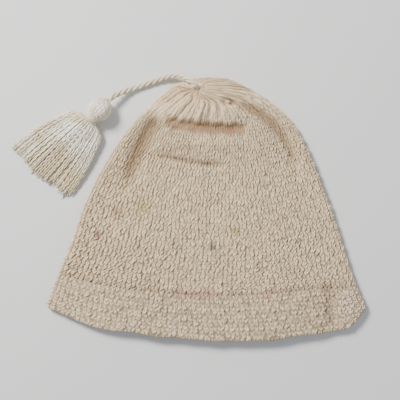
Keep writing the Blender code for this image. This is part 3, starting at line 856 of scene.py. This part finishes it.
def skirt_place(way, fan, height):
    """A place in the skirt: way from the neck to the tips, fan across it, height 0 to 1."""
    s = read_table(SKIRT_SECTIONS, way + 0.035 * (1 - way))
    middle, along, across = tassel_frame()
    neck = middle + along * (HEAD_LENGTH / 2 + NECK_LENGTH)
    top = s.top_z * SKIRT_HEIGHT * np.sqrt(np.maximum(0.0, 1 - 0.72 * fan * fan))
    points = neck + np.outer(way * SKIRT_LENGTH, along)
    points = points + np.outer(fan * (s.half_width * SKIRT_WIDTH + 0.8 * MM), across)
    points[:, 2] = STRAND_LOW + (top - 2 * STRAND_LOW) * height
    return points


def strand_lines():
    """The plied strands of the skirt, from inside the neck to their tips, in four layers."""
    middle, along, across = tassel_frame()
    rolls = np.random.RandomState(21)
    lines, radii, shades = [], [], []
    strands = [(height, i, number) for height, number in LAYERS for i in range(number)]
    for height, i, number in strands:
        fan = -1 + 2 * (i + (0.5 if number % 2 else 0.35)) / number
        fan = float(np.clip(fan + rolls.normal(0, 0.010), -1, 1))
        tip = float(read_curve(TIPS, fan)) + rolls.normal(0, 0.024)
        way = np.linspace(-0.04, tip, 46)
        bend = rolls.normal(0, 0.024 if height == 1 else 0.012)
        spread = fan + bend * smoothstep(way * 1.2) * np.sin(3.2 * way + rolls.uniform(0, 6))
        lift = height * (1 - 0.16 * rolls.uniform(0, 1))
        line = skirt_place(way, np.clip(spread, -1.02, 1.02), lift)
        # Out of the neck, where all strands are bound together
        angle = math.pi / 2 * fan * 0.96
        ring = middle + along * (HEAD_LENGTH / 2 - 0.2 * MM)
        ring = ring + across * math.sin(angle) * NECK_DIAMETER * 0.50
        ring[2] += NECK_DIAMETER * 0.46 * math.cos(angle) * (2 * height - 1)
        out = smoothstep((way + 0.035) / 0.05)[:, None]
        start = ring + np.outer((way - way[0]) * SKIRT_LENGTH, along)
        line = start * (1 - out) + line * out
        phase = rolls.uniform(0, 6.28)
        swing = np.sin(2 * np.pi * way * SKIRT_LENGTH / rolls.uniform(0.0050, 0.0085) + phase)
        swing = rolls.uniform(0.10, 0.46) * MM * smoothstep(way / 0.2) * swing
        line = line + np.outer(swing, across)
        line[:, 2] = np.maximum(line[:, 2] + 0.5 * swing, STRAND_LOW)
        shade = rolls.uniform(0, 1) ** 1.5
        thick = (0.52 if height == 1 else 0.56) * MM
        for ply in twisted(line, 0.24 * MM, 2, STRAND_LAY, 0.15, phase):
            ply[:, 2] = np.maximum(ply[:, 2], 0.65 * MM)
            lines.append(ply)
            radii.append(thick * (1 - 0.4 * smoothstep((way / tip - 0.9) / 0.1)))
            # Darker towards the tips and the right side, and painted shade on the strands of the
            # lower layers, under the top one
            tone = 0.56 * smoothstep((way - 0.15) / 0.75) * (1 + 0.5 * fan) + 0.05 * (1 + fan)
            shades.append(0.30 * shade * smoothstep(way / 0.4) + tone + 0.36 * (height < 0.9))
    for _ in range(LOOSE_ENDS):
        fan = rolls.choice([rolls.uniform(0.62, 0.98), rolls.uniform(-1, 1)])
        tip = float(read_curve(TIPS, fan))
        way = np.linspace(tip - 0.12, tip + rolls.uniform(0.015, 0.05 + 0.06 * (fan > 0.6)), 16)
        spread = fan + rolls.normal(0, 0.05) * (way - way[0]) / 0.15
        line = skirt_place(np.minimum(way, 1.0), spread, rolls.uniform(0, 0.9))
        line = line + np.outer((way - np.minimum(way, 1.0)) * SKIRT_LENGTH, along)
        line = line + np.outer(0.5 * MM * np.sin(way * 60 + rolls.uniform(0, 6)), across)
        line[:, 2] = np.maximum(line[:, 2] * np.linspace(1, 0.5, 16), 0.6 * MM)
        lines.append(line)
        radii.append(np.linspace(0.5, 0.25, 16) * MM)
        shades.append(np.full(16, 0.15))
    return lines, radii, shades


def head_lines():
    """Yarn laid over the head from its top to the neck."""
    middle, along, across = tassel_frame()
    up = np.array([0.0, 0.0, 1.0])
    lines, radii, shades = [], [], []
    angle = np.linspace(0.10, 0.80 * np.pi, 26)
    for i in range(HEAD_YARNS):
        around = 2 * np.pi * i / HEAD_YARNS
        lean = around + 0.16 * np.sin(angle) + 0.05 * math.sin(5 * i)
        forward = -np.cos(angle) * (HEAD_LENGTH / 2 - 0.9 * MM)
        reach = np.sin(angle) * (HEAD_WIDTH / 2 - 0.95 * MM)
        forward = np.append(forward, np.array([0.1, 1.1, 2.2]) * MM + HEAD_LENGTH / 2)
        reach = np.append(reach, np.array([4.9, 4.4, 4.2]) * MM)
        lean = np.append(lean, [lean[-1]] * 3)
        line = middle + np.outer(forward, along)
        line = line + np.outer(reach * np.cos(lean), across) + np.outer(reach * np.sin(lean), up)
        for ply in twisted(line, 0.36 * MM, 2, HEAD_LAY, 0.1, 0.7 * i):
            lines.append(ply)
            radii.append(np.full(len(line), 0.60 * MM))
            shades.append(np.full(len(line), 0.36 + 0.25 * math.sin(2.7 * i)))
    return lines, radii, shades


def make_tassel(finish):
    lines, radii, shades = strand_lines()
    skirt = tubes("tassel_skirt", lines, radii, 1, finish, shades)
    lines, radii, shades = head_lines()
    yarn = tubes("tassel_head", lines, radii, 1, finish, shades)
    middle, along, _ = tassel_frame()
    # The ball that the head's yarn covers
    ball = bmesh.new()
    bmesh.ops.create_uvsphere(ball, u_segments=24, v_segments=16, radius=1.0)
    long, wide = HEAD_LENGTH / 2 - 1.0 * MM, HEAD_WIDTH / 2 - 1.0 * MM
    bmesh.ops.scale(ball, verts=ball.verts, vec=(long, wide, wide))
    turn = Vector((1, 0, 0)).rotation_difference(Vector(along)).to_matrix()
    bmesh.ops.rotate(ball, verts=ball.verts, matrix=turn)
    bmesh.ops.translate(ball, verts=ball.verts, vec=Vector(middle))
    data = bpy.data.meshes.new("tassel_ball")
    ball.to_mesh(data)
    ball.free()
    core = show("tassel_ball", data, finish)
    return skirt, yarn, core


def make_binding(finish):
    """The thread wound round the neck, and its short loose end."""
    middle, along, across = tassel_frame()
    up = np.array([0.0, 0.0, 1.0])
    turns = 3.0
    angle = 2.6 + np.linspace(0, 2 * np.pi * turns, 120)
    forward = HEAD_LENGTH / 2 + 0.4 * MM + np.linspace(0, 2.0 * MM, len(angle))
    reach = NECK_DIAMETER / 2 + 0.8 * MM
    line = middle + np.outer(forward, along)
    line = line + reach * (np.outer(np.cos(angle), across) + np.outer(np.sin(angle), up))
    loose = line[-1] + np.outer(np.linspace(0, 1, 10), -across * 5.5 * MM + up * 0.5 * MM)
    return tubes("neck_binding", [line, loose], [0.62 * MM, 0.5 * MM], 1, finish)


# ---- the cap ----


def knit_piece(name, wales, start, end, per_wale, material):
    """A part of the knitted field from one course to another, with every stitch raised."""
    rows = int(round((end - start) * PER_COURSE)) + 1
    courses = start + np.arange(-1, rows + 1) / PER_COURSE
    ways = BAND_TOP + (1.0 - BAND_TOP) * courses / FIELD_COURSES
    columns = (wales[1] - wales[0]) * per_wale + 1
    wale = wales[0] + np.arange(-1, columns + 1) / per_wale
    turn, pitch = turns_of_wales(np.minimum(ways, 1.0), wale % WALES)
    way = np.broadcast_to(ways[:, None], turn.shape)
    points, normal, stain_and_shade, valley_shade = formed_cap(turn, strayed(turn, way))
    drift = wale_drift(points, wale)
    course = courses[:, None] + 0.4 * drift
    x = points[..., 0]
    loose = smoothstep((-x - 0.02) / 0.06)  # the left side is knitted more loosely
    gathered = smoothstep((x + 0.052) / 0.012) * (1 - smoothstep((x - 0.010) / 0.025))
    calm = 0.20 + 0.46 * gathered  # the gathers draw the stitches flat
    relief = field_relief((wale + drift) % WALES, course, way, 0.6 + 0.08 * loose, calm)
    relief = relief + (0.75 - relief) * 0.45 * smoothstep((stain_and_shade - 0.5) / 0.5)
    fewer, fewest = decreases(ways)
    scale = np.clip(pitch * (1 + fewer + 2 * fewest) / WALE, 0.35, 1.05)[:, None] ** 0.6
    high = smoothstep((way - 0.62) / 0.1)
    scale = scale * (1.04 + 0.22 * loose + 0.25 * high - 0.5 * x)
    lying = smoothstep(-normal[..., 2] * 2)
    lift = (relief - 0.5 - 0.5 * lying) * RELIEF * scale * (1 - closing_share(way))
    tuck = 1 - smoothstep((courses - 0.35) / 0.5)[:, None]
    points = points + normal * (lift - 0.6 * MM * tuck)[..., None]
    points[..., 2] = np.maximum(points[..., 2], GROUND_GAP)
    inner = (slice(1, -1), slice(1, -1))
    # Painted shade just above the border, in the colour only
    shade_above_border = 0.2 * np.exp(-(((courses - 0.7) / 0.8) ** 2))[:, None]  # shade above the border
    relief = relief * (1 - shade_above_border) * (1 - 0.85 * valley_shade)
    # At the gathers' closed middle the colour is lifted towards the stitch tops': less painted gap
    # shade and some painted highlight
    relief = relief + (0.9 - relief) * smoothstep((way - 0.982) / 0.012)
    values = {"relief": relief[inner], "fold_stain_and_shade": stain_and_shade[inner]}
    weld = wales[1] - wales[0] == WALES
    normals = grid_normals(points)[inner]
    return sheet_object(name, points[inner], values, material, normals, weld)


def make_border(material):
    """The knitted border as one closed ring: outside, scalloped edge and inside."""
    per_wale = 8
    wales = np.arange(WALES * per_wale + 1) / per_wale
    up_count = BAND_COURSES * PER_COURSE
    outside = [(BAND_TOP * (1 - k / up_count), 1.0, 0.0) for k in range(up_count)]
    edge = [(0.0, math.cos(math.pi * k / 8), math.sin(math.pi * k / 8)) for k in range(9)]
    inside = [(BAND_TOP * k / 12, -1.0, 0.0) for k in range(1, 13)]
    rows = np.array(outside + edge + inside + [(BAND_TOP, 0.0, 0.0), (BAND_TOP, 1.0, 0.0)])
    ways, cover, push = rows[:, 0], rows[:, 1][:, None], rows[:, 2][:, None]
    turn, _ = turns_of_wales(ways, wales % WALES)
    turn[:, -1] = 1.0
    # The upper edge is scalloped, where the field's stitches are picked up
    upper = smoothstep((ways / BAND_TOP - 0.88) / 0.12)[:, None]
    way = strayed(turn, np.broadcast_to(ways[:, None], turn.shape))
    way = way + 0.0035 * upper * np.abs(np.sin(np.pi * (wales + 0.5)))
    points = smooth_cap(turn, way)
    normal = cloth_normal(turn, way)
    normal[..., 1] = 0.0
    normal /= np.linalg.norm(normal, axis=2, keepdims=True)
    facing = facing_up(points)
    crease, stain_and_shade = crease_depth(points[..., 0], points[..., 1])
    form = swell_height(points[..., 0], points[..., 1]) - crease
    drift = wale_drift(points, wales)
    course = (BAND_COURSES * ways / BAND_TOP)[:, None] + 0.4 * drift
    relief = stitch_relief((wales + drift) % WALES, course + BAND_ROW, BAND_STITCH)
    # A few rows of the border were worked the other way, and stand up as low ridges
    ridges = 0.5 + 0.5 * np.cos(2 * np.pi * course / 2.4)
    relief = uneven_gaps(relief, wales + drift, course + BAND_ROW, 0.60)
    relief = relief * (0.80 + 0.20 * ridges)
    lying = smoothstep(-normal[..., 2] * 2)
    half = BAND_WALL / 2
    offset = -half + BAND_STEP * (1 - lying) + half * cover
    outer_side = np.clip(cover, 0, 1)
    offset = offset + outer_side * (relief - 0.5 - 0.5 * lying) * RELIEF
    points = points + normal * offset[..., None]
    points[..., 2] += form * facing
    bumps = np.abs(np.sin(np.pi * (wales + 0.2 * np.sin(1.7 * wales))))[None, :]
    x = points[..., 0]
    worn = 2 + np.sin(x / 0.0048 + 2 * np.sin(x / 0.031)) + np.sin(x / 0.0083 + 1.0)
    points[..., 1] -= (half + 0.5 * MM * bumps + 0.42 * MM * worn - 0.9 * MM) * push
    points[..., 2] = np.maximum(points[..., 2], GROUND_GAP)
    values = {"relief": relief, "fold_stain_and_shade": stain_and_shade * facing}
    return sheet_object("border_knit", points, values, material, weld=True)


def make_inside(material):
    """The plain inner face of the knit, closed under the gathers."""
    ways = np.concatenate([np.linspace(BAND_TOP - 0.04, HOLLOW_END, 60), [HOLLOW_END + 0.002]])
    wales = np.arange(2 * WALES + 1) / 2
    turn, _ = turns_of_wales(ways, wales % WALES)
    turn[:, -1] = 1.0
    way = np.broadcast_to(ways[:, None], turn.shape)
    points = smooth_cap(turn, way)
    normal = cloth_normal(turn, way)
    normal[..., 1] *= smoothstep((way - 0.7) / 0.2)
    normal /= np.linalg.norm(normal, axis=2, keepdims=True)
    facing = facing_up(points)
    dent = 0.85 * crease_depth(points[..., 0], points[..., 1])[0]
    points = points - normal * KNIT_WALL
    points[..., 2] = np.maximum(points[..., 2] - dent * facing, KNIT_WALL)
    points[-1] = points[-2].mean(axis=0)
    relief = 0.5 + 0.5 * np.sin(4 * np.pi * wales)[None, :] * np.ones_like(turn)
    values = {"relief": relief[::-1], "fold_stain_and_shade": np.zeros_like(relief)}
    return sheet_object("knit_inside", points[::-1], values, material, weld=True)


def main():
    set_the_scene()

    cream = (0.78, 0.61, 0.39)
    knit = knit_finish("cream_knit", cream, True)
    plain = knit_finish("cream_knit_back", cream, False)
    border = knit_finish("border_knit", (0.85, 0.68, 0.45), True)
    white_yarn = yarn_finish("tassel_yarn", (1.00, 0.985, 0.90), (0.69, 0.575, 0.385), 0.8, True)
    cord_yarn = yarn_finish("cord_yarn", (0.86, 0.78, 0.62), (0.62, 0.52, 0.37), 0.75)
    thread = yarn_finish("binding_thread", (0.80, 0.73, 0.60), (0.58, 0.49, 0.36), 0.7)

    cord, root, line, length = make_cord(cord_yarn)
    skirt, head, ball = make_tassel(white_yarn)
    binding = make_binding(thread)
    ring = make_border(border)

    side = WALES // 2
    closed = FIELD_COURSES * (1 + CLOSE_WAY / (1 - BAND_TOP))
    pieces = [
        knit_piece("knit_front_low", (0, side), 0, CROWN_COURSE // 2, 8, knit),
        knit_piece("knit_front_high", (0, side), CROWN_COURSE // 2, CROWN_COURSE, 8, knit),
        knit_piece("knit_back", (side, WALES), 0, CROWN_COURSE, 4, plain),
        knit_piece("knit_gathers", (0, WALES), CROWN_COURSE, closed, 8, knit),
        make_inside(plain),
    ]

    for piece in pieces:
        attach(piece, "root")
        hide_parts("cap_body")
    for piece, node, slot in (
        (ring, "hem_band", "border_knit"),
        (cord, "cord", "cord"),
        (root, "cord", "cord"),
        (skirt, "tassel", "tassel_yarn"),
        (head, "tassel", "tassel_yarn"),
        (ball, "tassel", "tassel_yarn"),
        (binding, "neck_tie", "binding_thread"),
    ):
        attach(piece, "root")
        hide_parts(node)


main()
